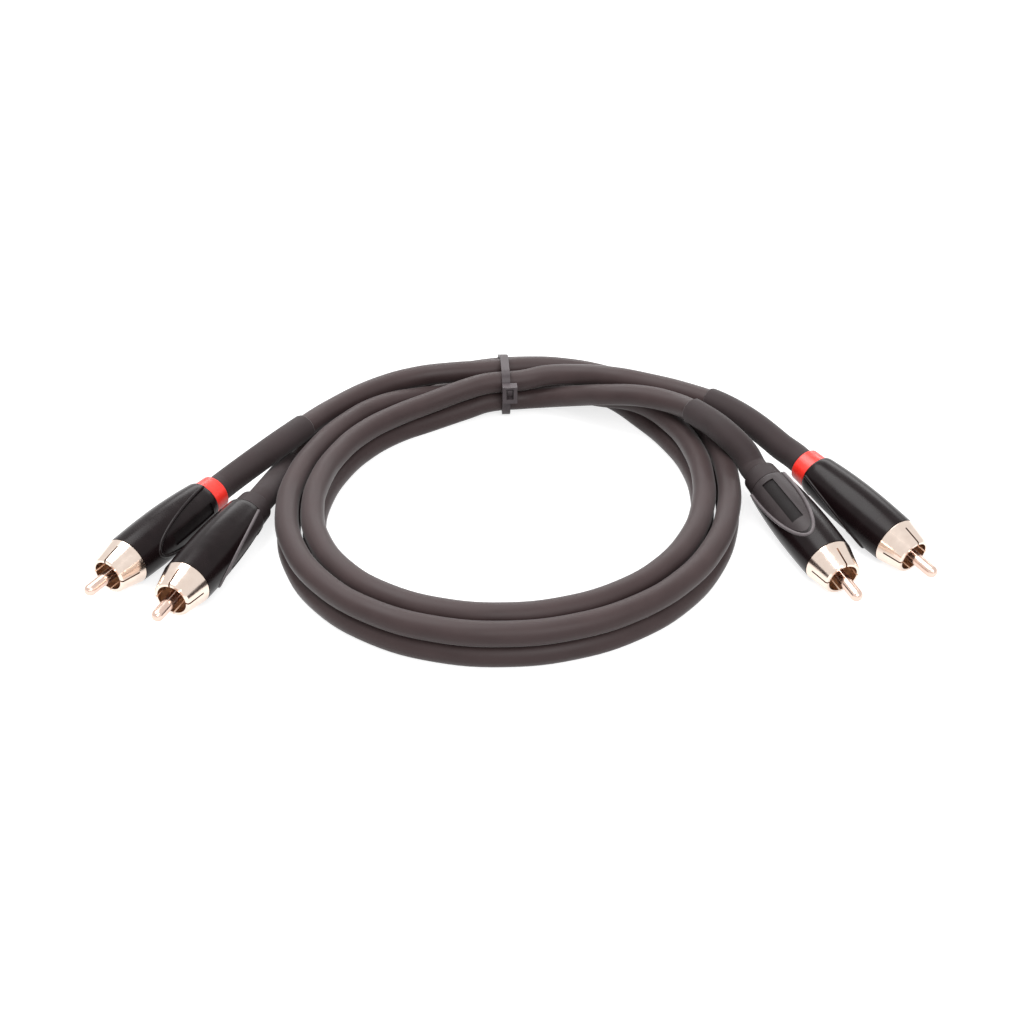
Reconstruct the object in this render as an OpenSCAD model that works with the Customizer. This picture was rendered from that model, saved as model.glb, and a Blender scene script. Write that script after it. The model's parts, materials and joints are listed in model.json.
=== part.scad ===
/* [Cable] */
// Diameter of each cable's jacket
cable_d = 6.5; // [6.3:0.1:6.5]
// Outer diameter of the sleeve behind each plug
sleeve_d = 7.8; // [7.2:0.1:7.8]
// Length of the sleeves of the red pair that shows behind the ring
red_sleeve = 38; // [20:1:42]
// Length of the sleeve behind the left black plug
black_left_sleeve = 28; // [12:1:30]
// Length of the sleeve behind the right black plug
black_right_sleeve = 32; // [20:1:36]

/* [Coil] */
// Mean radius of the inner turns
loop_mean = 55.4; // [55.2:0.1:56]
// Play between two turns that lie side by side
turn_play = 0.5; // [0.45:0.05:0.6]
// Play between two turns that lie on each other
layer_play = 0.15; // [0.1:0.05:0.2]

/* [Plug] */
// Diameter of the centre pin
pin_d = 3.2; // [3:0.1:3.3]
// Length of the pin that stands out of the collar
pin_out = 8; // [6:0.1:9]
// Length of the slit collar
collar_len = 7.4; // [6.6:0.1:8]
// Outer diameter of the collar at its rim
rim_d = 9.9; // [9.6:0.1:10.4]
// Outer diameter of the collar where it meets the handle
collar_d = 13.4; // [13:0.1:13.6]
// Bore of the collar, which grips a jack's shell
collar_bore = 8.3; // [8.2:0.05:8.4]
// Width of the slits in the collar
slit_w = 0.45; // [0.3:0.05:0.8]
// Length of the slits, from the rim
slit_len = 5.2; // [3:0.1:5.6]
// Length of the moulded handle
handle_len = 31; // [30:0.5:34]
// Greatest diameter of the handle
handle_d = 14; // [13.8:0.1:14]
// Diameter of the handle at the ring
handle_rear_d = 11.6; // [11.4:0.1:12]
// Length of the ring behind the handle
ring_len = 5; // [4:0.1:5.5]
// Diameter of the ring at its rear face
ring_rear_d = 9.8; // [9.6:0.1:10.4]

/* [Handle face] */
// How far in front of the face's ridge the handle runs on to the collar
face_front = 5.5; // [4.5:0.1:7]
// Slope of the face down to the ring, in degrees
face_slope = 13.7; // [12:0.1:14]
// Width of the ridge along the face's edge
ridge_w = 0.6; // [0.4:0.05:0.9]
// Height of the ridge above the handle
ridge_h = 0.25; // [0.1:0.05:0.4]
// Step from the handle's outline down to the soft pad in the face
pad_step = 0.35; // [0.2:0.05:0.5]
// Height of the pad's flat top above the plug's axis
pad_top = 6.15; // [6.05:0.05:6.25]
// Length of the bare plate sunk in the pad
plate_len = 17.4; // [14:0.1:17.6]
// Width of that plate
plate_w = 3.5; // [2.5:0.1:4]
// Depth of the plate below the pad's top
plate_depth = 0.4; // [0.2:0.05:0.45]

/* [Cable tie] */
// Width of the strap
tie_w = 2.5; // [2:0.1:3.5]
// Thickness of the strap
tie_t = 0.9; // [0.7:0.05:1]
// Width of the head
head_w = 4.5; // [4.2:0.1:4.8]
// Height of the head
head_h = 5.7; // [5.2:0.1:6]

/* [Hidden] */
$fn = 48;

// The coil's centre, measured from the middle of the whole part's outline.
coil_at = [-2.79, -2.73, 0];

// Each plug: where its ring's rear face is, which way its pin points, how far
// the pin is dipped, and how far the face is rolled from the top, to the left.
red_left_plug = [[-81.9, -2.8, handle_d / 2], -119.5, 0, 72];
black_left_plug = [[-69.5, -9.7, handle_d / 2 + 0.13], -110.6, 0, 113];
black_right_plug = [[71.4, -0.4, 10.78], -67.5, 6.5, -29];
red_right_plug = [[84.8, 5, 11.03], -56.6, 6.9, -115];

// Stations along a plug's axis, from the ring's rear face.
handle_from = ring_len;
handle_to = ring_len + handle_len;
rim_at = handle_to + collar_len;
tip_at = rim_at + pin_out;
bulge_at = handle_to - 12;
barrel_at = handle_to - 8;
barrel_r = 5.2;
cable_bore = sleeve_d / 2 + 0.15;
inner_bore = barrel_r + 0.05;
throat_to = handle_from + 8;
spigot_at = 1.2;
spigot_r = cable_bore + 0.5;
ring_front_r = ring_rear_d / 2 + 0.3;
shoulder = handle_rear_d / 2 - ring_front_r;
shoulder_len = 0.8;
jacket_to = 18.5;
jacket_r = cable_d / 2 - 0.1;
wire_r = 1.2;
wire_to = jacket_to + 4.5;
copper_r = 0.5;
cup_at = wire_to + 1;
cup_to = cup_at + 2.6;
stem_r = pin_d / 2 - 0.3;
flange_r = 2.3;
flange_t = 0.9;
insulator_to = handle_to + 1.2;
crimp_r = jacket_r + 0.05;
crimp_t = 0.6;
crimp_len = 3;
strip_w = 3.4;
play = 0.05;
edge = 0.35;

// The face: where its ridge crosses the top, the pad's front end, and the
// plate's rear end.
face_to = handle_to - face_front;
pad_to = face_to - 4.6;
plate_from = handle_from + 2.5;

// The two cables lie as four lanes: inner and outer, low and high. The low
// lanes rest on the ground, cut flat there by a tenth of the diameter.
low_z = 0.4 * cable_d;
high_z = low_z + cable_d + layer_play;
inner = -0.25;
outer = inner + cable_d + turn_play;
lane_a = [inner, high_z];
lane_b = [outer, high_z];
lane_c = [outer, low_z];
lane_d = [inner, low_z];

// Where the six passes go through the tie, lying on its strap.
tie_play = 0.22;
tie_z = cable_d / 2 + tie_play + tie_t;
slot_step = cable_d + 0.05;
slot_in = -2.4;
slot_d = [slot_in, tie_z];
slot_a = [slot_in + 0.2, tie_z + cable_d + layer_play];
slot_red = [slot_in + slot_step, tie_z];
slot_black = [slot_in + 2 * slot_step, tie_z];
slot_black_in = [slot_in + 3 * slot_step + 0.4, tie_z];
slot_red_in = [slot_red[0] + 1.35, tie_z + 1.05 * cable_d];

// Each turn: slot, lane and next slot, then the angles over which it moves
// out of the first slot (across, up) and into the next (across, up).
red_turns = [
    [slot_red_in, lane_b, slot_red, [1, 40], [13, 44], [301, 354], [309, 356]],
    [slot_red, lane_a, slot_a, [9, 37], [18, 48], [290, 330], [326, 354]]
];
black_turns = [
    [slot_black_in, lane_c, slot_black, [14, 68], [7, 36], [288, 345], [338, 359]],
    [slot_black, lane_d, slot_d, [12, 57], [1, 22], [301, 339], [331, 357]]
];

// The uncoiled routes, from the plug's side to the tie's side.
red_left_way = [
    [-70.9, 8.6, 10.4], [-62, 20.3, 11.4], [-52, 35.4, 10.6], [-40, 46.7, 10.9],
    [-28, 52.9, 11.2], [-16, 55.2, 11.5]
];
black_left_way = [
    [-66.2, 3.6, 5.3], [-63.2, 15.8, 3.4], [-58.3, 26, 3.6], [-51, 38.6, 2.9],
    [-39, 52.7, 2.7], [-27, 61.8, 3.1], [-14, 67.4, 4.1]
];
black_right_way = [
    [68.1, 6, 13.6], [63.4, 10.4, 17], [56.5, 19.4, 18.1], [49, 28.5, 16.9],
    [40, 34.1, 15.8], [30, 38.9, 13.2], [20, 46, 8.4], [12, 50, 5.4]
];
red_right_way = [
    [79.5, 11.4, 12.4], [73, 18.4, 14.8], [64, 26.7, 16.6], [54, 34.1, 16.6],
    [43, 40.1, 16.3], [33, 44.4, 16], [22, 49.8, 13.8], [12, 51.7, 12.3]
];
lead_straight = 4;
tie_run = 4.5;

// Inner turns' radius at an angle, how fast it changes, and the way out.
function loop_r(a) = loop_mean + 2.2 * cos(a) - 3.4 * sin(a) - 0.7 * cos(2 * a)
    + 2.7 * sin(2 * a) - 0.5 * cos(3 * a) - 0.1 * sin(3 * a) - 0.4 * cos(4 * a);
function loop_dr(a) = -2.2 * sin(a) - 3.4 * cos(a) + 1.4 * sin(2 * a)
    + 5.4 * cos(2 * a) + 1.5 * sin(3 * a) - 0.3 * cos(3 * a) + 1.6 * sin(4 * a);
function unit(v) = v / norm(v);
function way_out(a) = unit([
    loop_r(a) * cos(a) + loop_dr(a) * sin(a),
    loop_r(a) * sin(a) - loop_dr(a) * cos(a), 0
]);
function spot(a, lane) = loop_r(a) * [cos(a), sin(a), 0] + lane[0] * way_out(a)
    + [0, 0, lane[1]];

// The tie stands at 90 degrees, where every pass runs straight.
tie_at = [0, loop_r(90), 0];
tie_out = way_out(90);
tie_along = [tie_out[1], -tie_out[0], 0];

// The strap itself sits a little askew and off to the left.
strap_turn = 3.5;
strap_shift = -0.45;
function in_tie(slot, along) = tie_at + slot[0] * tie_out + along * tie_along
    + [0, 0, slot[1]];

function ease(p, span) = let (t = max(0, min(1, (p - span[0]) / (span[1] - span[0]))))
    (1 - cos(180 * t)) / 2;
function turn_lane(turn, p) = [
    turn[0][0] + (turn[1][0] - turn[0][0]) * ease(p, turn[3])
        + (turn[2][0] - turn[1][0]) * ease(p, turn[5]),
    turn[0][1] + (turn[1][1] - turn[0][1]) * ease(p, turn[4])
        + (turn[2][1] - turn[1][1]) * ease(p, turn[6])
];
function turn_points(turn, step) = concat(
    [in_tie(turn[0], cable_d)],
    [for (p = [15 : step : 345]) spot(90 - p, turn_lane(turn, p))],
    [in_tie(turn[2], -cable_d)]
);
function coil_points(turns) = concat(
    [in_tie(turns[0][0], 0)],
    turn_points(turns[0], 15),
    turn_points(turns[1], 15),
    [in_tie(turns[1][2], 0)]
);

function plug_way(plug) = [
    cos(plug[1]) * cos(plug[2]), sin(plug[1]) * cos(plug[2]), -sin(plug[2])
];
function lead_points(plug, way, slot) = concat(
    [plug[0], plug[0] - lead_straight * plug_way(plug)],
    way,
    [in_tie(slot, plug[0][0] < 0 ? -cable_d : tie_run), in_tie(slot, 0)]
);

// A route cut off after a length.
function cut(points, length, i = 0) = let (
        run = norm(points[i + 1] - points[i])
    )
    length <= run || i + 2 == len(points)
    ? [points[i], points[i] + min(length, run) * unit(points[i + 1] - points[i])]
    : concat([points[i]], cut(points, length - run, i + 1));

// The way that a route runs at each of its points.
function heading(points, i) = let (
        back = i > 0 ? unit(points[i] - points[i - 1]) : [0, 0, 0],
        on = i < len(points) - 1 ? unit(points[i + 1] - points[i]) : [0, 0, 0]
    )
    unit(back + on);
function on_ground(p) = [p[0], p[1], max(p[2], 0)];
function ring_points(points, i, r, sides) = let (
        ahead = heading(points, i),
        side = unit(cross(ahead, [0, 0, 1])),
        up = cross(side, ahead)
    )
    [for (k = [0 : sides - 1]) let (a = 360 * k / sides)
        on_ground(points[i] + r * (cos(a) * side + sin(a) * up))];
function band(from, to, k, sides) = let (n = (k + 1) % sides)
    [[from + k, from + n, to + n], [from + k, to + n, to + k]];

module swept_rod(points, r, sides) {
    last = (len(points) - 1) * sides;
    polyhedron(
        [for (i = [0 : len(points) - 1]) each ring_points(points, i, r, sides)],
        concat(
            [for (i = [0 : len(points) - 2], k = [0 : sides - 1])
                each band(i * sides, (i + 1) * sides, k, sides)],
            [for (k = [1 : sides - 2]) [0, k + 1, k]],
            [for (k = [1 : sides - 2]) [last, last + k, last + k + 1]]
        )
    );
}

module swept_sleeve(points, r, bore_r, sides) {
    rings = len(points);
    last = (rings - 1) * sides;
    hole = rings * sides;
    polyhedron(
        concat(
            [for (i = [0 : rings - 1]) each ring_points(points, i, r, sides)],
            [for (i = [0 : rings - 1]) each ring_points(points, i, bore_r, sides)]
        ),
        concat(
            [for (i = [0 : rings - 2], k = [0 : sides - 1])
                each band(i * sides, (i + 1) * sides, k, sides)],
            [for (i = [0 : rings - 2], k = [0 : sides - 1])
                each band(hole + (i + 1) * sides, hole + i * sides, k, sides)],
            [for (k = [0 : sides - 1]) each band(hole, 0, k, sides)],
            [for (k = [0 : sides - 1]) each band(last, hole + last, k, sides)]
        )
    );
}

// A plug's own frame: z runs along its axis to the tip, -x is up.
module at_plug(plug) {
    translate(coil_at + plug[0]) rotate([0, 0, plug[1]]) rotate([0, 90 + plug[2], 0])
        children();
}

module turned(outline) {
    rotate_extrude() polygon(outline);
}

// The handle's radius along the axis: a long taper up to the bulge, and a
// rounded shoulder that steps down to the ring.
function handle_r(s) = s < bulge_at
    ? handle_d / 2 - (handle_d - handle_rear_d) / 2
        * pow((bulge_at - s) / (bulge_at - handle_from), 2)
    : handle_d / 2 - (handle_d - collar_d) / 2
        * pow((s - bulge_at) / (handle_to - bulge_at), 2);
function round_off(s) = let (u = min(1, (s - handle_from) / shoulder_len))
    1 - sqrt(1 - (1 - u) * (1 - u));
function skin(grow, step) = [
    for (t = [0, 0.004, 0.012, 0.026, each [1 / 12 : 1 / 12 : 1]])
        let (s = handle_from + t * handle_len)
        [handle_r(s) + grow - step * round_off(s), s]
];

// All that lies above a line along the axis, which is given by its heights.
module above(line) {
    rotate([90, 0, 0]) linear_extrude(2 * handle_d, center = true) polygon(concat(
        [for (p = line) [-p[1], p[0]]],
        [[-handle_d, line[len(line) - 1][0]], [-handle_d, line[0][0]]]
    ));
}

// The face's height above the axis.
function face_height(s) = handle_r(face_to) - 0.02 - (face_to - s) * tan(face_slope);

module pin(plug) {
    nose = pin_d / 2;
    color("gainsboro") at_plug(plug) turned(concat(
        [
            [0, cup_to], [copper_r + 0.2, cup_to], [copper_r + 0.2, cup_at],
            [stem_r, cup_at], [stem_r, barrel_at - flange_t],
            [flange_r, barrel_at - flange_t], [flange_r, barrel_at],
            [stem_r, barrel_at], [stem_r, insulator_to + play],
            [nose, insulator_to + play]
        ],
        [for (a = [0 : 15 : 90]) [nose * cos(a), tip_at - nose + nose * sin(a)]]
    ));
}

module insulator(plug) {
    color("peru") at_plug(plug) turned([
        [stem_r + play, barrel_at], [collar_bore / 2 - play, barrel_at],
        [collar_bore / 2 - play, insulator_to], [stem_r + play, insulator_to]
    ]);
}

module collar(plug) {
    color("rosybrown") at_plug(plug) difference() {
        turned([
            [collar_bore / 2, barrel_at], [barrel_r, barrel_at], [barrel_r, handle_to],
            [collar_d / 2 - edge / 2, handle_to], [collar_d / 2, handle_to + edge],
            [rim_d / 2 + edge / 2, rim_at - edge], [rim_d / 2 - edge / 2, rim_at],
            [collar_bore / 2, rim_at]
        ]);
        for (a = [0 : 90 : 359]) rotate([0, 0, a])
            translate([-collar_d, -slit_w / 2, rim_at - slit_len])
                cube([collar_d, slit_w, slit_len + 1]);
    }
}

module crimp(plug) {
    strip_r = crimp_r + crimp_t;
    strip_from = jacket_to - crimp_len;
    color("silver") at_plug(plug) rotate([0, 0, -plug[3]]) {
        turned([
            [crimp_r, strip_from], [strip_r, strip_from],
            [strip_r, jacket_to], [crimp_r, jacket_to]
        ]);
        intersection() {
            translate([crimp_r * 0.8, -strip_w / 2, strip_from + 1])
                cube([crimp_t + crimp_r, strip_w, barrel_at - strip_from - 1]);
            turned([
                [crimp_r, strip_from], [strip_r, strip_from],
                [strip_r, barrel_at], [crimp_r, barrel_at]
            ]);
        }
        turned([
            [crimp_r, barrel_at - 0.8], [barrel_r, barrel_at - 0.8],
            [barrel_r, barrel_at], [crimp_r, barrel_at]
        ]);
    }
}

// The glossy shell, cut by the slanting face. A low ridge runs round the
// face's edge in a U, widest where it crosses the top.
module handle(plug) {
    bores = [
        [inner_bore, handle_to], [inner_bore, throat_to + 1.2], [cable_bore, throat_to],
        [cable_bore, spigot_at], [spigot_r, spigot_at], [spigot_r, handle_from]
    ];
    ridge_bores = [
        [inner_bore + edge, handle_to], [inner_bore + edge, throat_to + 1.2],
        [spigot_r + edge, handle_from]
    ];
    face_from = handle_from - edge;
    face = [[face_from, face_height(face_from)], [handle_to, face_height(handle_to)]];
    color([0.05, 0.05, 0.055]) at_plug(plug) rotate([0, 0, -plug[3]]) difference() {
        union() {
            turned(concat(skin(0, shoulder), bores));
            intersection() {
                turned(concat(skin(ridge_h, shoulder), ridge_bores));
                above([for (p = face) [p[0], p[1] - ridge_w]]);
            }
        }
        above(face);
    }
}

// The pad that lies in the face, with a plate sunk in its flat top.
module pad(plug) {
    lift = play / cos(face_slope);
    plate_to = plate_from + plate_len;
    floor_at = pad_top - plate_depth;
    function floor_height(s) = min(floor_at, handle_r(s) - pad_step - plate_depth);
    color([0.09, 0.085, 0.085]) at_plug(plug) rotate([0, 0, -plug[3]]) difference() {
        intersection() {
            turned(concat(
                skin(-pad_step, shoulder - pad_step),
                [
                    [inner_bore, handle_to], [inner_bore, throat_to + 1.2],
                    [cable_bore, throat_to], [cable_bore, handle_from]
                ]
            ));
            above([
                [handle_from, face_height(handle_from) + lift],
                [pad_to, face_height(pad_to) + lift]
            ]);
        }
        above([[handle_from - 1, pad_top], [handle_to, pad_top]]);
        intersection() {
            rotate([0, -90, 0]) linear_extrude(handle_d)
                translate([plate_from, -plate_w / 2]) square([plate_len, plate_w]);
            above([for (s = [plate_from - 1, handle_from + 6, plate_to + 1])
                [s, floor_height(s)]]);
        }
    }
}

module ring(plug, tint) {
    color(tint) at_plug(plug) turned([
        [cable_bore, 0], [ring_rear_d / 2 - edge, 0], [ring_rear_d / 2, edge],
        [ring_front_r, handle_from], [spigot_r + play, handle_from],
        [spigot_r + play, spigot_at - 2 * play], [cable_bore, spigot_at - 2 * play]
    ]);
}

module core(plug) {
    color("dimgray") at_plug(plug) turned([
        [0, 0], [jacket_r, 0], [jacket_r, jacket_to], [wire_r, jacket_to],
        [wire_r, wire_to], [copper_r, wire_to], [copper_r, cup_to], [0, cup_to]
    ]);
}

module sleeve(plug, way, slot, length) {
    points = cut(lead_points(plug, way, slot), length);
    inside = [plug[0] + throat_to * plug_way(plug)];
    color([0.2, 0.19, 0.19]) translate(coil_at)
        swept_sleeve(concat(inside, points), sleeve_d / 2, cable_d / 2, 12);
}

module lead(plug, way, slot) {
    color([0.24, 0.22, 0.22]) translate(coil_at)
        swept_rod(lead_points(plug, way, slot), cable_d / 2, 12);
}

module coil(turns) {
    color([0.24, 0.22, 0.22]) translate(coil_at)
        swept_rod(coil_points(turns), cable_d / 2, 6);
}

// The outline of the strap's inner face round the six passes.
module bundle(grow) {
    hull() for (slot = [slot_d, slot_a, slot_black_in, slot_red_in])
        translate(slot) circle(r = cable_d / 2 + grow);
}

// The tie: a strap round the bundle, and a head on its near side with a
// window in front of the tongue that holds the strap.
module cable_tie() {
    face_y = slot_d[0] - cable_d / 2 - tie_play - tie_t;
    head_from = tie_z + 2.85;
    head_t = 2.8;
    head_x = 0.55 - strap_shift;
    wall = 0.6;
    bar_h = 1.4;
    window_w = 2.2;
    window_h = head_h - bar_h - wall;
    color([0.2, 0.2, 0.2]) translate(coil_at + tie_at + [strap_shift, 0, 0])
        rotate([0, 0, strap_turn]) {
        rotate([90, 0, 90]) linear_extrude(tie_w, center = true) difference() {
            bundle(tie_play + tie_t);
            bundle(tie_play);
        }
        difference() {
            translate([head_x - head_w / 2, face_y - head_t + 0.4, head_from])
                cube([head_w, head_t, head_h]);
            translate([head_x - window_w / 2, face_y - head_t, head_from + bar_h])
                cube([window_w, head_t - 0.9, window_h]);
        }
        translate([head_x - window_w / 2 + 0.3, face_y - 1, head_from + bar_h + 0.2])
            rotate([20, 0, 0]) cube([window_w - 0.6, 0.6, window_h - 0.6]);
    }
}

pin(red_left_plug);  // red_left_pin
insulator(red_left_plug);  // red_left_insulator
collar(red_left_plug);  // red_left_collar
crimp(red_left_plug);  // red_left_crimp
handle(red_left_plug);  // red_left_handle
pad(red_left_plug);  // red_left_pad
ring(red_left_plug, "red");  // red_left_ring
sleeve(red_left_plug, red_left_way, slot_red_in, red_sleeve);  // red_left_sleeve
core(red_left_plug);  // red_left_core
pin(black_left_plug);  // black_left_pin
insulator(black_left_plug);  // black_left_insulator
collar(black_left_plug);  // black_left_collar
crimp(black_left_plug);  // black_left_crimp
handle(black_left_plug);  // black_left_handle
pad(black_left_plug);  // black_left_pad
ring(black_left_plug, [0.06, 0.06, 0.06]);  // black_left_ring
sleeve(black_left_plug, black_left_way, slot_black_in, black_left_sleeve);
core(black_left_plug);  // black_left_core
pin(black_right_plug);  // black_right_pin
insulator(black_right_plug);  // black_right_insulator
collar(black_right_plug);  // black_right_collar
crimp(black_right_plug);  // black_right_crimp
handle(black_right_plug);  // black_right_handle
pad(black_right_plug);  // black_right_pad
ring(black_right_plug, [0.06, 0.06, 0.06]);  // black_right_ring
sleeve(black_right_plug, black_right_way, slot_d, black_right_sleeve);
core(black_right_plug);  // black_right_core
pin(red_right_plug);  // red_right_pin
insulator(red_right_plug);  // red_right_insulator
collar(red_right_plug);  // red_right_collar
crimp(red_right_plug);  // red_right_crimp
handle(red_right_plug);  // red_right_handle
pad(red_right_plug);  // red_right_pad
ring(red_right_plug, "red");  // red_right_ring
sleeve(red_right_plug, red_right_way, slot_a, red_sleeve);  // red_right_sleeve
core(red_right_plug);  // red_right_core
lead(red_left_plug, red_left_way, slot_red_in);  // red_left_lead
lead(black_left_plug, black_left_way, slot_black_in);  // black_left_lead
lead(black_right_plug, black_right_way, slot_d);  // black_right_lead
lead(red_right_plug, red_right_way, slot_a);  // red_right_lead
coil(red_turns);  // red_coil
coil(black_turns);  // black_coil
cable_tie();

// The least gap of each coil to itself, from points every 5 degrees. The
// pass through the tie joins the turns, so points near it on one strand are
// left out.
function self_gap(turns) = let (
        first = turn_points(turns[0], 5),
        second = turn_points(turns[1], 5),
        n = len(first)
    )
    min([for (i = [0 : n - 1], j = [0 : n - 1])
        if (n - i + j > 6) norm(first[i] - second[j])]) - cable_d;
echo(str("least gap of the red coil to itself: ", self_gap(red_turns), " mm"));
echo(str("least gap of the black coil to itself: ", self_gap(black_turns), " mm"));
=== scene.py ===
import bpy
import json
import math
from mathutils import Matrix, Vector
from mathutils.geometry import interpolate_bezier


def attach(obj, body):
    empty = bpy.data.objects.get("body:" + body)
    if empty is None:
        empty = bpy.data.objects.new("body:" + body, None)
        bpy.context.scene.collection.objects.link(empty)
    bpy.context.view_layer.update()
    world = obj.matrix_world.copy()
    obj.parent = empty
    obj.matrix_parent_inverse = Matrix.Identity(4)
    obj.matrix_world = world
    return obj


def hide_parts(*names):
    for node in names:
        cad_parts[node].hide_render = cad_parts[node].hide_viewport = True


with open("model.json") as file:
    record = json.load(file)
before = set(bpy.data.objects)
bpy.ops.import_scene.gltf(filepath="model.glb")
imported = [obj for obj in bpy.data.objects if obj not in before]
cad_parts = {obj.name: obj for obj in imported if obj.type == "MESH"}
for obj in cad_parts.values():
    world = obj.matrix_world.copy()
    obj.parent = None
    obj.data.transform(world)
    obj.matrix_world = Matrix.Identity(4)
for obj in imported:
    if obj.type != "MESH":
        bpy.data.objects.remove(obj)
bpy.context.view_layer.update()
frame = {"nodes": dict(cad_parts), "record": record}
print("frame loaded")

mm = 0.001
squarely = 0.9  # part of a normal that counts as facing one way
coilAt = Vector((-2.79, -2.73, 0)) * mm  # the coil's centre, from the middle of the part


def place(x, y, z):
    return Vector((x, y, z)) * mm + coilAt


def deselectAll():
    if bpy.context.object and bpy.context.object.mode != "OBJECT":
        bpy.ops.object.mode_set(mode="OBJECT")
    bpy.ops.object.select_all(action="DESELECT")


def makeActive(obj):
    deselectAll()
    obj.select_set(True)
    bpy.context.view_layer.objects.active = obj


def setMaterial(obj, material):
    obj.data.materials.clear()
    obj.data.materials.append(material)


# camera and studio

camera = {
    "place": Vector((1.7, -318.7, 233.0)) * mm + coilAt,
    "tilt": 53.56,
    "lens": 48.45,
    "sensor": 36,
    "clipStart": 0.01,
}

studio = {
    "world": 0.62,
    "floorSize": 6,
    "floorColor": 0.42,
    "floorGlow": 0.75,
    "lamps": {
        "key": {"at": (-0.25, 0.15, 0.75), "aim": (0, 0, 0), "size": (0.7, 0.5), "power": 6.8},
        "fill": {"at": (0.2, -0.6, 0.6), "aim": (0, 0, 0), "size": (0.5, 0.5), "power": 4.6},
        "rim": {"at": (0.1, 0.7, 0.35), "aim": (0, 0, 0.01), "size": (0.9, 0.25), "power": 2.6},
    },
}


def addCamera():
    data = bpy.data.cameras.new("camera")
    data.lens = camera["lens"]
    data.sensor_width = camera["sensor"]
    data.clip_start = camera["clipStart"]
    obj = bpy.data.objects.new("camera", data)
    bpy.context.collection.objects.link(obj)
    obj.location = camera["place"]
    obj.rotation_euler = (math.radians(camera["tilt"]), 0, 0)
    bpy.context.scene.camera = obj


def addLamp(name, lamp):
    data = bpy.data.lights.new(name, "AREA")
    data.shape = "RECTANGLE"
    data.size, data.size_y = lamp["size"]
    data.energy = lamp["power"]
    obj = bpy.data.objects.new(name, data)
    bpy.context.collection.objects.link(obj)
    obj.location = lamp["at"]
    way = Vector(lamp["aim"]) - Vector(lamp["at"])
    obj.rotation_euler = way.to_track_quat("-Z", "Y").to_euler()


# 1 for rays from the camera and for what metal, plastic or glass mirrors, else 0
def addSeenRays(nodes, links):
    path = nodes.new("ShaderNodeLightPath")
    mirrored = nodes.new("ShaderNodeMath")
    mirrored.operation = "MAXIMUM"
    seen = nodes.new("ShaderNodeMath")
    seen.operation = "MAXIMUM"
    links.new(path.outputs["Is Glossy Ray"], mirrored.inputs[0])
    links.new(path.outputs["Is Transmission Ray"], mirrored.inputs[1])
    links.new(path.outputs["Is Camera Ray"], seen.inputs[0])
    links.new(mirrored.outputs[0], seen.inputs[1])
    return seen.outputs[0]


def addSeenPower(nodes, links, unseen, seen):
    power = nodes.new("ShaderNodeMapRange")
    power.inputs["To Min"].default_value = unseen
    power.inputs["To Max"].default_value = seen
    links.new(addSeenRays(nodes, links), power.inputs["Value"])
    return power.outputs[0]


def addWorld():
    world = bpy.data.worlds.new("studio")
    bpy.context.scene.world = world
    world.use_nodes = True
    nodes = world.node_tree.nodes
    links = world.node_tree.links
    back = nodes["Background"]
    back.inputs["Color"].default_value = (1, 1, 1, 1)
    links.new(addSeenPower(nodes, links, studio["world"], 1.0), back.inputs["Strength"])


def addFloor():
    deselectAll()
    bpy.ops.mesh.primitive_plane_add(size=studio["floorSize"], location=(0, 0, 0))
    floor = bpy.context.object
    floor.name = "floor"
    material = bpy.data.materials.new("floorPaper")
    material.use_nodes = True
    nodes = material.node_tree.nodes
    links = material.node_tree.links
    nodes.clear()
    out = nodes.new("ShaderNodeOutputMaterial")
    paper = nodes.new("ShaderNodeBsdfDiffuse")
    paper.inputs["Color"].default_value = (studio["floorColor"],) * 3 + (1,)
    glow = nodes.new("ShaderNodeEmission")
    both = nodes.new("ShaderNodeAddShader")
    links.new(addSeenPower(nodes, links, 0, studio["floorGlow"]), glow.inputs["Strength"])
    links.new(paper.outputs[0], both.inputs[0])
    links.new(glow.outputs[0], both.inputs[1])
    links.new(both.outputs[0], out.inputs["Surface"])
    setMaterial(floor, material)


bpy.context.scene.view_settings.view_transform = "Standard"
addCamera()
addWorld()
addFloor()
for lampName, lampSpec in studio["lamps"].items():
    addLamp(lampName, lampSpec)
print("camera and studio ready")


# finishes: two close colours in soft clouds, roughness that follows them, and a fine grain
# cloud is that noise's scale, and grain is the bump's scale, detail, strength and depth

specular = "Specular IOR Level"
cloudEdges = (0.3, 0.7)
cloudDetail = 4.0

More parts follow.
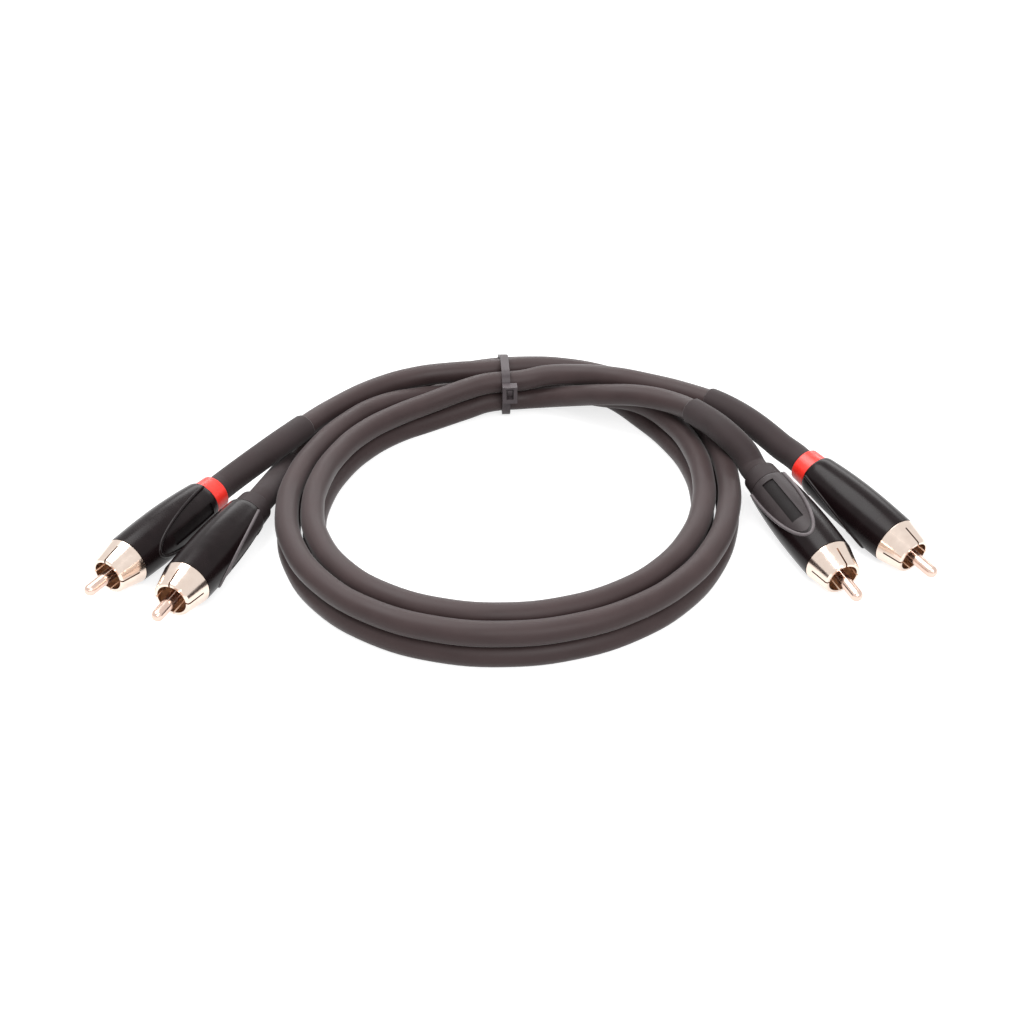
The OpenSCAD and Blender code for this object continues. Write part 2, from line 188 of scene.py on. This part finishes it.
finishes = {
    "cable_jacket": {
        "name": "softPvcJacket",
        "dark": (0.032, 0.0192, 0.0192), "pale": (0.042, 0.0262, 0.0262),
        "rough": (0.44, 0.58), "cloud": 90, "grain": (4200, 2, 0.12, 0.00004),
        "sockets": {specular: 0.24, "Sheen Weight": 0.12, "Sheen Roughness": 0.45},
    },
    "sleeve_rubber": {
        "name": "matteShrinkSleeve",
        "dark": (0.024, 0.016, 0.0165), "pale": (0.032, 0.022, 0.0228),
        "rough": (0.6, 0.75), "cloud": 140, "grain": (5200, 3, 0.2, 0.00005),
        "sockets": {specular: 0.2, "Sheen Weight": 0.1},
    },
    "handle_black": {
        "name": "glossyMouldedHandle",
        "dark": (0.0060, 0.0032, 0.0036), "pale": (0.0085, 0.0048, 0.0052),
        "rough": (0.22, 0.28), "cloud": 260, "grain": (900, 2, 0.05, 0.00004),
        "sockets": {specular: 0.16},
    },
    "pad_gloss": {
        "name": "glossPad",
        "dark": (0.0065, 0.0038, 0.0042), "pale": (0.01, 0.006, 0.0065),
        "rough": (0.26, 0.34), "cloud": 300, "grain": (2600, 3, 0.15, 0.00001),
        "sockets": {specular: 0.18},
    },
    "pad_soft": {
        "name": "softPad",
        "dark": (0.026, 0.0195, 0.0205), "pale": (0.035, 0.027, 0.028),
        "rough": (0.42, 0.5), "cloud": 300, "grain": (2600, 3, 0.15, 0.00001),
        "sockets": {specular: 0.25},
    },
    # paler than the pad: a painted highlight along the ridge, where it catches the light
    "ridge_soft": {
        "name": "softRidgePaintedHighlight",
        "dark": (0.1, 0.086, 0.09), "pale": (0.125, 0.108, 0.112),
        "rough": (0.3, 0.38), "cloud": 300, "grain": (2600, 3, 0.15, 0.00001),
        "sockets": {specular: 0.25},
    },
    # darker than the pad: painted shade on the floor of the plate's shallow recess
    "sunk_plate": {
        "name": "sunkPlatePaintedShade",
        "dark": (0.0045, 0.003, 0.0032), "pale": (0.007, 0.0048, 0.005),
        "rough": (0.5, 0.6), "cloud": 300, "grain": (3400, 3, 0.15, 0.00002),
        "sockets": {specular: 0.15},
    },
    "ring_red": {
        "name": "redRing",
        "dark": (0.82, 0.03, 0.02), "pale": (0.88, 0.036, 0.024),
        "rough": (0.24, 0.36), "cloud": 300, "grain": (1500, 2, 0.05, 0.00004),
    },
    "ring_black": {
        "name": "blackRing",
        "dark": (0.023, 0.0165, 0.017), "pale": (0.031, 0.0225, 0.0235),
        "rough": (0.55, 0.7), "cloud": 300, "grain": (5200, 3, 0.15, 0.00005),
        "sockets": {specular: 0.25},
    },
    "collar_metal": {
        "name": "platedCollar", "metallic": 1.0,
        "dark": (0.80, 0.66, 0.57), "pale": (0.84, 0.71, 0.62),
        "rough": (0.12, 0.2), "cloud": 420, "grain": (2600, 3, 0.02, 0.000005),
    },
    "pin_metal": {
        "name": "platedPin", "metallic": 1.0,
        "dark": (0.72, 0.53, 0.45), "pale": (0.77, 0.58, 0.5),
        "rough": (0.14, 0.24), "cloud": 420, "grain": (2600, 3, 0.02, 0.000005),
    },
    "tinned_steel": {
        "name": "tinnedSteel", "metallic": 1.0,
        "dark": (0.6, 0.59, 0.57), "pale": (0.7, 0.69, 0.68),
        "rough": (0.3, 0.42), "cloud": 420, "grain": (2600, 3, 0.02, 0.000005),
    },
    "insulator": {
        "name": "brownInsulator",
        "dark": (0.3, 0.16, 0.08), "pale": (0.42, 0.25, 0.14),
        "rough": (0.45, 0.6), "cloud": 300, "grain": (1800, 3, 0.15, 0.00003),
        "sockets": {specular: 0.25},
    },
    "cable_core": {
        "name": "cableCore",
        "dark": (0.12, 0.11, 0.11), "pale": (0.2, 0.19, 0.19),
        "rough": (0.5, 0.6), "cloud": 300, "grain": (1800, 3, 0.15, 0.00003),
        "sockets": {specular: 0.25},
    },
    "tie_nylon": {
        "name": "greyNylon",
        "dark": (0.046, 0.036, 0.039), "pale": (0.076, 0.062, 0.066),
        "rough": (0.36, 0.5), "cloud": 300, "grain": (2400, 3, 0.15, 0.00003),
        "sockets": {specular: 0.25},
    },
}


def addNoise(nodes, links, scale, detail):
    coords = nodes.new("ShaderNodeTexCoord")
    noise = nodes.new("ShaderNodeTexNoise")
    noise.inputs["Scale"].default_value = scale
    noise.inputs["Detail"].default_value = detail
    links.new(coords.outputs["Object"], noise.inputs["Vector"])
    return noise.outputs["Fac"]


def addRange(nodes, links, value, least, most):
    ramp = nodes.new("ShaderNodeMapRange")
    ramp.inputs["From Min"].default_value = cloudEdges[0]
    ramp.inputs["From Max"].default_value = cloudEdges[1]
    ramp.inputs["To Min"].default_value = least
    ramp.inputs["To Max"].default_value = most
    links.new(value, ramp.inputs["Value"])
    return ramp.outputs["Result"]


def addTint(nodes, links, value, dark, pale):
    mix = nodes.new("ShaderNodeMix")
    mix.data_type = "RGBA"
    mix.inputs[6].default_value = dark + (1,)
    mix.inputs[7].default_value = pale + (1,)
    links.new(value, mix.inputs[0])
    return mix.outputs[2]


def addBump(nodes, links, value, strength, depth):
    bump = nodes.new("ShaderNodeBump")
    bump.inputs["Strength"].default_value = strength
    bump.inputs["Distance"].default_value = depth
    links.new(value, bump.inputs["Height"])
    return bump.outputs["Normal"]


def makeFinish(finish):
    material = bpy.data.materials.new(finish["name"])
    material.use_nodes = True
    nodes = material.node_tree.nodes
    links = material.node_tree.links
    shader = nodes["Principled BSDF"]
    shader.inputs["Metallic"].default_value = finish.get("metallic", 0.0)
    for socket, value in finish.get("sockets", {}).items():
        shader.inputs[socket].default_value = value
    cloud = addNoise(nodes, links, finish["cloud"], cloudDetail)
    blend = addRange(nodes, links, cloud, 0, 1)
    tint = addTint(nodes, links, blend, finish["dark"], finish["pale"])
    links.new(tint, shader.inputs["Base Color"])
    links.new(addRange(nodes, links, cloud, *finish["rough"]), shader.inputs["Roughness"])
    scale, detail, strength, depth = finish["grain"]
    grain = addNoise(nodes, links, scale, detail)
    links.new(addBump(nodes, links, grain, strength, depth), shader.inputs["Normal"])
    return material


looks = {slot: makeFinish(finish) for slot, finish in finishes.items()}

for part in frame["record"]["subparts"]:
    if part["node"] in frame["nodes"]:
        setMaterial(frame["nodes"][part["node"]], looks[part["material_slot"]])
print("materials on the fixed pieces")


# plugs: where the cable enters the ring, and the plug's turn, dip and roll in degrees

plugs = {
    "red_left": {"at": (-81.9, -2.8, 7), "turn": -119.5, "dip": 0, "roll": 79},
    "black_left": {"at": (-69.5, -9.7, 7.13), "turn": -110.6, "dip": 0, "roll": 119},
    "black_right": {"at": (71.4, -0.4, 10.78), "turn": -67.5, "dip": 6.5, "roll": -31},
    "red_right": {"at": (84.8, 5, 11.03), "turn": -56.6, "dip": 6.9, "roll": -134},
}


def plugMatrix(name):
    plug = plugs[name]
    return (Matrix.Translation(place(*plug["at"]))
            @ Matrix.Rotation(math.radians(plug["turn"]), 4, "Z")
            @ Matrix.Rotation(math.radians(90 + plug["dip"]), 4, "Y")
            @ Matrix.Rotation(-math.radians(plug["roll"]), 4, "Z"))


def plugWay(name):
    turn = math.radians(plugs[name]["turn"])
    dip = math.radians(plugs[name]["dip"])
    return Vector((math.cos(turn) * math.cos(dip), math.sin(turn) * math.cos(dip), -math.sin(dip)))


def plugEnd(name, along=0.0):
    return place(*plugs[name]["at"]) + along * mm * plugWay(name)


# cables: both routes, plug to plug

cable = {
    "thick": 6.5, "sides": 5, "steps": 6,
    "straight": 4,  # behind each plug
    "lowest": 0.4,  # height of the lowest lane's middle, as a part of the thickness
    "turnPlay": 0.5, "layerPlay": 0.15, "innerLane": -0.25,
    "tiePlay": 0.22, "tieThick": 0.9, "tieRun": 4.5, "tieAt": 90,
    "slotPlay": 0.05, "innerSlot": -2.4,
    "knotEvery": 15,  # degrees round the loop
    "lift": 0.02, "smooth": 50,
}

loopMean = 55.4
loopWaves = [(1, 2.2, -3.4), (2, -0.7, 2.7), (3, -0.5, -0.1), (4, -0.4, 0)]

low = cable["lowest"] * cable["thick"]
high = low + cable["thick"] + cable["layerPlay"]
inner = cable["innerLane"]
outer = inner + cable["thick"] + cable["turnPlay"]

# places in the tie: out from the loop's line, and up
tieZ = cable["thick"] / 2 + cable["tiePlay"] + cable["tieThick"]
slotStep = cable["thick"] + cable["slotPlay"]
slotIn = cable["innerSlot"]
slots = {
    "lowInner": (slotIn, tieZ),
    "highInner": (slotIn + 0.2, tieZ + cable["thick"] + cable["layerPlay"]),
    "red": (slotIn + slotStep, tieZ),
    "black": (slotIn + 2 * slotStep, tieZ),
    "blackStart": (slotIn + 3 * slotStep + 0.4, tieZ),
    "redStart": (slotIn + slotStep + 1.35, tieZ + 1.05 * cable["thick"]),
}

# a turn: first slot, lane, last slot, then the degrees in which it goes out to the lane,
# up or down to it, and in and up again
cables = {
    "red": {
        "left": "red_left",
        "right": "red_right",
        "leftWay": [(-70.9, 8.6, 10.4), (-62, 20.3, 11.4), (-52, 35.4, 10.6), (-40, 46.7, 10.9),
                    (-28, 52.9, 11.2), (-16, 55.2, 11.5)],
        "rightWay": [(79.5, 11.4, 12.4), (73, 18.4, 14.8), (64, 26.7, 16.6), (54, 34.1, 16.6),
                     (43, 40.1, 16.3), (33, 44.4, 16), (22, 49.8, 13.8), (12, 51.7, 12.3)],
        "turns": [
            ("redStart", (outer, high), "red", (1, 40), (13, 44), (301, 354), (309, 356)),
            ("red", (inner, high), "highInner", (9, 37), (18, 48), (290, 330), (326, 354)),
        ],
        "sleeves": {"red_left": 35.8, "red_right": 36},
    },
    "black": {
        "left": "black_left",
        "right": "black_right",
        "leftWay": [(-66.2, 3.6, 5.3), (-63.2, 15.8, 3.4), (-58.3, 26, 3.6), (-51, 38.6, 2.9),
                    (-39, 52.7, 2.7), (-27, 61.8, 3.1), (-14, 67.4, 4.1)],
        "rightWay": [(68.1, 6, 13.6), (63.4, 10.4, 17), (56.5, 19.4, 18.1), (49, 28.5, 16.9),
                     (40, 34.1, 15.8), (30, 38.9, 13.2), (20, 46, 8.4), (12, 50, 5.4)],
        "turns": [
            ("blackStart", (outer, low), "black", (14, 68), (7, 36), (288, 345), (338, 359)),
            ("black", (inner, low), "lowInner", (12, 57), (1, 22), (301, 339), (331, 357)),
        ],
        "sleeves": {"black_left": 28, "black_right": 30.8},
    },
}


def loopRadius(a):
    return loopMean + sum(c * math.cos(n * a) + s * math.sin(n * a) for n, c, s in loopWaves)


def loopChange(a):
    return sum(n * (s * math.cos(n * a) - c * math.sin(n * a)) for n, c, s in loopWaves)


def wayOut(a):
    r = loopRadius(a)
    change = loopChange(a)
    x = r * math.cos(a) + change * math.sin(a)
    y = r * math.sin(a) - change * math.cos(a)
    return Vector((x, y, 0)).normalized()


def laneSpot(degrees, lane):
    a = math.radians(degrees)
    across = loopRadius(a) * Vector((math.cos(a), math.sin(a), 0)) + lane[0] * wayOut(a)
    return place(across.x, across.y, lane[1])


def inTie(slot, along):
    tieTurn = math.radians(cable["tieAt"])
    out = wayOut(tieTurn)
    side = Vector((out.y, -out.x, 0))
    spot = Vector((0, loopRadius(tieTurn), 0)) + slots[slot][0] * out + along * side
    return place(spot.x, spot.y, slots[slot][1])


def ease(p, span):
    t = max(0, min(1, (p - span[0]) / (span[1] - span[0])))
    return (1 - math.cos(math.pi * t)) / 2


def turnPoints(turn):
    start, lane, end, outAcross, outUp, inAcross, inUp = turn
    first = slots[start]
    last = slots[end]
    points = [inTie(start, cable["thick"])]
    for p in range(cable["knotEvery"], 360, cable["knotEvery"]):
        across = (first[0] + (lane[0] - first[0]) * ease(p, outAcross)
                  + (last[0] - lane[0]) * ease(p, inAcross))
        up = (first[1] + (lane[1] - first[1]) * ease(p, outUp)
              + (last[1] - lane[1]) * ease(p, inUp))
        points.append(laneSpot(cable["tieAt"] - p, (across, up)))
    return points + [inTie(end, -cable["thick"])]


def cableRoute(spec):
    route = [plugEnd(spec["left"]), plugEnd(spec["left"], -cable["straight"])]
    route += [place(*p) for p in spec["leftWay"]]
    route.append(inTie(spec["turns"][0][0], -cable["thick"]))
    for turn in spec["turns"]:
        route += turnPoints(turn)
    route.append(inTie(spec["turns"][1][2], cable["tieRun"]))
    route += [place(*p) for p in reversed(spec["rightWay"])]
    return route + [plugEnd(spec["right"], -cable["straight"]), plugEnd(spec["right"])]


def newCurve(name, points, radius, radii=None):
    data = bpy.data.curves.new(name, "CURVE")
    data.dimensions = "3D"
    data.resolution_u = cable["steps"]
    data.bevel_depth = radius
    data.bevel_resolution = cable["sides"]
    data.use_fill_caps = True
    spline = data.splines.new("BEZIER")
    spline.bezier_points.add(len(points) - 1)
    for i, p in enumerate(points):
        knot = spline.bezier_points[i]
        knot.co = p
        knot.handle_left_type = "AUTO"
        knot.handle_right_type = "AUTO"
        if radii:
            knot.radius = radii[i]
    obj = bpy.data.objects.new(name, data)
    bpy.context.collection.objects.link(obj)
    bpy.context.view_layer.update()
    return obj


def curvePath(obj):
    knots = obj.data.splines[0].bezier_points
    steps = cable["steps"] + 1
    path = []
    for a, b in zip(knots[:-1], knots[1:]):
        path += interpolate_bezier(a.co, a.handle_right, b.handle_left, b.co, steps)[:-1]
    return path + [knots[-1].co.copy()]


def toRestingMesh(obj):
    makeActive(obj)
    bpy.ops.object.convert(target="MESH")
    obj = bpy.context.object
    for v in obj.data.vertices:
        v.co.z = max(v.co.z, cable["lift"] * mm)  # flat where it lies on the ground
    makeActive(obj)
    bpy.ops.object.shade_smooth_by_angle(angle=math.radians(cable["smooth"]))
    return obj


def cutPath(path, length):
    points = [path[0]]
    left = length
    for a, b in zip(path[:-1], path[1:]):
        run = (b - a).length
        if run >= left:
            points.append(a + (b - a) * left / run)
            return points
        points.append(b)
        left -= run
    return points


# handles: a turned skin along z, with its face towards -x

handle = {
    "start": 5, "end": 36, "bulge": 24,
    "rear": 5.8, "thick": 7, "front": 6.7,
    "shoulder": 0.6, "shoulderRun": 0.8, "shoulderSteps": (0.12, 0.4, 1),
    "sides": 72, "steps": 22, "disc": 0.1, "smooth": 32,
    "bores": [(5.25, 13.5, 37), (4.05, 4, 14)],  # radius, from, to
    "boreSides": 48,
}

face = {
    "front": 30.5, "slope": 10.4, "play": 0.03, "past": 1,
    "under": 1.15, "step": 0.3,
    "cutter": (20, 40, 120),
    "ridge": 0.5, "ridgeSunk": 0.1, "ridgeTurn": 66, "ridgeFrom": 0.3,
    "ridgeKnots": 44, "ridgeTries": 12, "knotGap": 0.2,
    "plate": (7.6, 24.3), "plateWide": 3.5, "plateDeep": 0.38, "plateCut": (-18, -2),
    "plateLoose": 0.06, "ridgeLoose": 0.04,  # how far off the depth of a surface may be
    # the pad's finishes in turn: the pad, its plate floor (darker, painted shade of the recess)
    # and its ridge (paler on the black plugs, a painted highlight)
    "looks": ("pad_soft", "sunk_plate", "ridge_soft"),
}


def handleRadius(along):
    if along < handle["bulge"]:
        t = (handle["bulge"] - along) / (handle["bulge"] - handle["start"])
        r = handle["thick"] - (handle["thick"] - handle["rear"]) * t * t
    else:
        t = (along - handle["bulge"]) / (handle["end"] - handle["bulge"])
        r = handle["thick"] - (handle["thick"] - handle["front"]) * t * t
    u = min(1, (along - handle["start"]) / handle["shoulderRun"])
    return r - handle["shoulder"] * (1 - math.sqrt(1 - (1 - u) ** 2))


def turnedBody(name, inset, start, end):
    deselectAll()
    first = handleRadius(handle["start"]) - inset
    disc = handle["disc"]
    bpy.ops.mesh.primitive_cylinder_add(
        vertices=handle["sides"], radius=first * mm, depth=disc * mm,
        location=(0, 0, (start - disc / 2) * mm))
    obj = bpy.context.object
    obj.name = name
    bpy.ops.object.transform_apply(location=True, rotation=True, scale=True)
    bpy.ops.object.mode_set(mode="EDIT")
    bpy.ops.mesh.select_all(action="DESELECT")
    bpy.ops.object.mode_set(mode="OBJECT")
    for f in obj.data.polygons:
        f.select = f.normal.z > squarely
    bpy.ops.object.mode_set(mode="EDIT")
    stations = [handle["start"] + handle["shoulderRun"] * t for t in handle["shoulderSteps"]]
    shoulderEnd = stations[-1]
    run = end - shoulderEnd
    stations += [shoulderEnd + run * (i + 1) / handle["steps"] for i in range(handle["steps"])]
    last = first
    reached = start
    for station in stations:
        r = handleRadius(min(station, handle["end"])) - inset
        bpy.ops.mesh.extrude_region_move(
            TRANSFORM_OT_translate={"value": (0, 0, (station - reached) * mm)})
        bpy.ops.transform.resize(
            value=(r / last, r / last, 1), center_override=(0, 0, station * mm))
        last = r
        reached = station
    bpy.ops.object.mode_set(mode="OBJECT")
    return obj


# the handle's whole length with a little past each end, for cutting
def longBody(name, inset, past):
    start = handle["start"] - face["past"]
    return turnedBody(name, inset, start, handle["end"] + past)


def block(name, center, size):
    deselectAll()
    bpy.ops.mesh.primitive_cube_add(size=1, location=[c * mm for c in center])
    obj = bpy.context.object
    obj.name = name
    obj.scale = [v * mm for v in size]
    bpy.ops.object.transform_apply(location=True, rotation=True, scale=True)
    return obj


# all that lies outside the slanting face
def aboveFace(lift):
    height = handleRadius(face["front"]) + lift
    obj = block("aboveFace", (-face["cutter"][0] / 2, 0, 0), face["cutter"])
    edge = (-height * mm, 0, face["front"] * mm)
    makeActive(obj)
    bpy.ops.object.mode_set(mode="EDIT")
    bpy.ops.mesh.select_all(action="SELECT")
    bpy.ops.transform.translate(value=edge)
    bpy.ops.object.mode_set(mode="OBJECT")
    pivot = Matrix.Translation(edge)
    turn = Matrix.Rotation(-math.radians(face["slope"]), 4, "Y")
    obj.data.transform(pivot @ turn @ pivot.inverted())
    return obj


def combine(obj, other, operation):
    makeActive(obj)
    modifier = obj.modifiers.new("cut", "BOOLEAN")
    modifier.operation = operation
    modifier.solver = "EXACT"
    modifier.object = other
    bpy.ops.object.modifier_apply(modifier="cut")
    bpy.data.objects.remove(other)


# where the skin meets the slanting face
def ridgeCurve():
    points = []
    tallest = handleRadius(face["front"])
    slope = math.tan(math.radians(face["slope"]))
    for i in range(face["ridgeKnots"] + 1):
        turn = math.radians(face["ridgeTurn"]) * (2 * i / face["ridgeKnots"] - 1)
        along = face["front"]
        for _ in range(face["ridgeTries"]):
            drop = tallest - handleRadius(along) * math.cos(turn)
            along = max(handle["start"] + face["ridgeFrom"], face["front"] - drop / slope)
        r = handleRadius(along) - face["ridgeSunk"]
        points.append(Vector((-r * math.cos(turn), r * math.sin(turn), along)) * mm)
    gap = face["knotGap"] * mm
    return [p for i, p in enumerate(points) if i == 0 or (p - points[i - 1]).length > gap]


def shapeHandle():
    shell = turnedBody("handleShell", 0, handle["start"], handle["end"])
    for r, start, end in handle["bores"]:
        deselectAll()
        bpy.ops.mesh.primitive_cylinder_add(
            vertices=handle["boreSides"], radius=r * mm, depth=(end - start) * mm,
            location=(0, 0, (start + end) / 2 * mm))
        combine(shell, bpy.context.object, "DIFFERENCE")
    hollow = aboveFace(0)
    combine(hollow, longBody("under", face["under"], face["past"]), "DIFFERENCE")
    combine(shell, hollow, "DIFFERENCE")
    return shell


def paintPad(pad):
    start, end = face["plate"]
    deep = face["step"] + face["plateDeep"]
    for look in face["looks"]:
        pad.data.materials.append(looks[look])
    for f in pad.data.polygons:
        along = max(handle["start"], min(handle["end"], f.center.z / mm))
        depth = handleRadius(along) - f.center.xy.length / mm
        wide = abs(f.center.y) < face["plateWide"] * mm / 2
        onPlate = wide and start < f.center.z / mm < end
        # the plate's floor takes the darker finish, painted shade of the recess
        if onPlate and f.normal.x < -squarely and abs(depth - deep) < face["plateLoose"]:
            f.material_index = 1
        # faces standing out of the pad's skin make the ridge; on the black plugs its finish is
        # paler, a painted highlight
        elif depth < face["step"] - face["ridgeLoose"]:
            f.material_index = 2


def shapePad():
    pad = turnedBody("softPad", face["step"], handle["start"], face["front"] + face["past"])
    combine(pad, aboveFace(face["play"]), "INTERSECT")
    combine(pad, longBody("under", face["under"] - face["play"], face["past"]), "DIFFERENCE")
    start, end = face["plate"]
    outside, inside = face["plateCut"]
    sunk = block("sunk", ((outside + inside) / 2, 0, (start + end) / 2),
                 (inside - outside, face["plateWide"], end - start))
    combine(sunk, longBody("plateFloor", face["step"] + face["plateDeep"], 0), "DIFFERENCE")
    combine(pad, sunk, "DIFFERENCE")
    makeActive(newCurve("ridge", ridgeCurve(), face["ridge"] * mm))
    bpy.ops.object.convert(target="MESH")
    combine(pad, bpy.context.object, "UNION")
    paintPad(pad)
    return pad


def copyTo(plug, name, model, replaced):
    obj = model.copy()
    obj.data = model.data.copy()
    obj.name = plug + name
    bpy.context.collection.objects.link(obj)
    obj.data.transform(plugMatrix(plug))
    makeActive(obj)
    bpy.ops.object.shade_smooth_by_angle(angle=math.radians(handle["smooth"]))
    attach(obj, "root")
    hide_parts(plug + replaced)
    return obj


def addHandle(plug):
    shell = copyTo(plug, "_handle_shell", handleModel, "_handle")
    setMaterial(shell, looks["handle_black"])
    pad = copyTo(plug, "_soft_pad", padModel, "_pad")
    if not plug.startswith("black"):  # gloss pad and ridge on the red plugs
        pad.data.materials[0] = looks["pad_gloss"]
        pad.data.materials[2] = looks["pad_gloss"]
    return [shell, pad]


handleModel = shapeHandle()
padModel = shapePad()
handles = {plug: addHandle(plug) for plug in plugs}
for model in (handleModel, padModel):
    bpy.data.objects.remove(model)
print("handles with their pads")


# the cables themselves, with a sleeve at each end

sleeve = {
    "thick": 7.8, "inside": 8, "keepEvery": 3,
    "roundEnd": 0.35, "roundFrom": 4, "endRadii": [0.995, 0.93],
}


def addSleeve(plug, path, length):
    inside = [plugEnd(plug, sleeve["inside"]), plugEnd(plug, sleeve["inside"] / 2)]
    outside = cutPath(path, length * mm)
    spaced = outside[:-1][::sleeve["keepEvery"]]
    end = outside[-1]
    back = (end - outside[-2]).normalized() * sleeve["roundEnd"] * mm
    points = inside + spaced + [end - sleeve["roundFrom"] * back, end - back, end]
    radii = [1.0] * (len(points) - 2) + sleeve["endRadii"]
    curve = newCurve(plug + "_soft_sleeve", points, sleeve["thick"] / 2 * mm, radii)
    obj = toRestingMesh(curve)
    setMaterial(obj, looks["sleeve_rubber"])
    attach(obj, "root")
    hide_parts(plug + "_sleeve")
    return obj


def addCable(name, spec):
    left = spec["left"]
    right = spec["right"]
    curve = newCurve(name + "_cable", cableRoute(spec), cable["thick"] / 2 * mm)
    path = curvePath(curve)
    obj = toRestingMesh(curve)
    setMaterial(obj, looks["cable_jacket"])
    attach(obj, "root")
    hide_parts(left + "_lead", name + "_coil", right + "_lead")
    sleeves = [
        addSleeve(left, path, spec["sleeves"][left]),
        addSleeve(right, path[::-1], spec["sleeves"][right]),
    ]


for cableName, cableSpec in cables.items():
    addCable(cableName, cableSpec)
